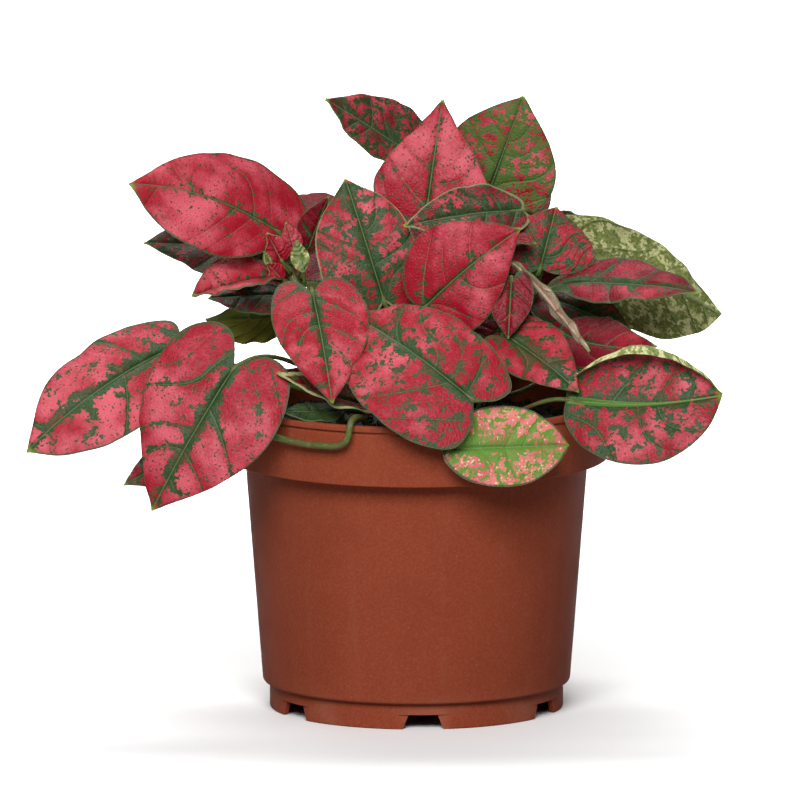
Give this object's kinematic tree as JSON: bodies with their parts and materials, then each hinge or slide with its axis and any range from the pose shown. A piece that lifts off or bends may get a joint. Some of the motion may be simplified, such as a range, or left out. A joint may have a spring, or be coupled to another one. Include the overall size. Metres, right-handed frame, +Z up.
{
  "type": "potted plant",
  "caption": "Bushy polka dot plant with pink and red leaves blotched with green, rooted in dark soil in a round reddish brown plastic nursery pot with a wide collar and a notched foot.",
  "frame": {"origin": "on the pot's axis, in the plane that its foot stands on, at the flat pad under the floor", "axes": "+Z up along the pot's axis, -Y towards the front, +X towards the plant's right seen from the front"},
  "size_m": [0.214, 0.1572, 0.188],
  "materials": {
    "pot": "satin",
    "soil": "matte",
    "stem": "satin",
    "leaf_pink": "satin",
    "leaf_red": "satin",
    "leaf_mottled": "satin",
    "leaf_pale": "satin"
  },
  "bodies": {
    "root": {"pot": "pot", "soil": "soil", "stem_left": "stem", "stem_middle": "stem", "stem_right": "stem", "stem_front": "stem", "stem_trailing": "stem", "stem_back_left": "stem", "stem_back_right": "stem", "leaf_far_left": "leaf_pink", "leaf_front_left_heart": "leaf_pink", "leaf_upper_left": "leaf_pink", "leaf_left_dark": "leaf_mottled", "leaf_left_two_tone": "leaf_pink", "leaf_left_below": "leaf_red", "leaf_left_underside": "leaf_pale", "leaf_hanging_red": "leaf_red", "leaf_curled_edge": "leaf_mottled", "leaf_front_big": "leaf_mottled", "leaf_middle_right_tip": "leaf_pink", "leaf_upright_mottled": "leaf_mottled", "leaf_top_pink": "leaf_pink", "leaf_top_left": "leaf_mottled", "leaf_top_right": "leaf_mottled", "leaf_top_flat": "leaf_mottled", "leaf_narrow_red": "leaf_red", "leaf_right_mottled": "leaf_mottled", "leaf_right_long": "leaf_red", "leaf_right_pale": "leaf_pale", "leaf_right_crimson": "leaf_red", "leaf_right_dull": "leaf_mottled", "leaf_right_edge": "leaf_pale", "leaf_front_right": "leaf_pink", "leaf_arched": "leaf_pale", "leaf_small_crimson": "leaf_red", "leaf_mid_right_pink": "leaf_pink", "leaf_in_shade": "leaf_red", "leaf_low_front": "leaf_pale", "leaf_over_rim_green": "leaf_mottled", "leaf_low_left_tip": "leaf_pink", "leaf_shoot_pink": "leaf_red", "leaf_shoot_dark": "leaf_red", "leaf_shoot_mauve": "leaf_red", "leaf_shoot_twisted": "leaf_pale", "leaf_back_1": "leaf_red", "leaf_back_2": "leaf_pink", "leaf_back_3": "leaf_mottled", "leaf_back_4": "leaf_pink", "leaf_back_5": "leaf_mottled", "leaf_back_6": "leaf_red", "leaf_back_7": "leaf_mottled", "leaf_back_8": "leaf_pink", "leaf_back_9": "leaf_mottled", "leaf_back_10": "leaf_pink", "leaf_back_11": "leaf_pink", "leaf_back_12": "leaf_pink", "leaf_side_left": "leaf_pink", "leaf_side_right": "leaf_pink", "leaf_side_right_back": "leaf_mottled", "leaf_inner_back": "leaf_red"}
  },
  "joints": []
}
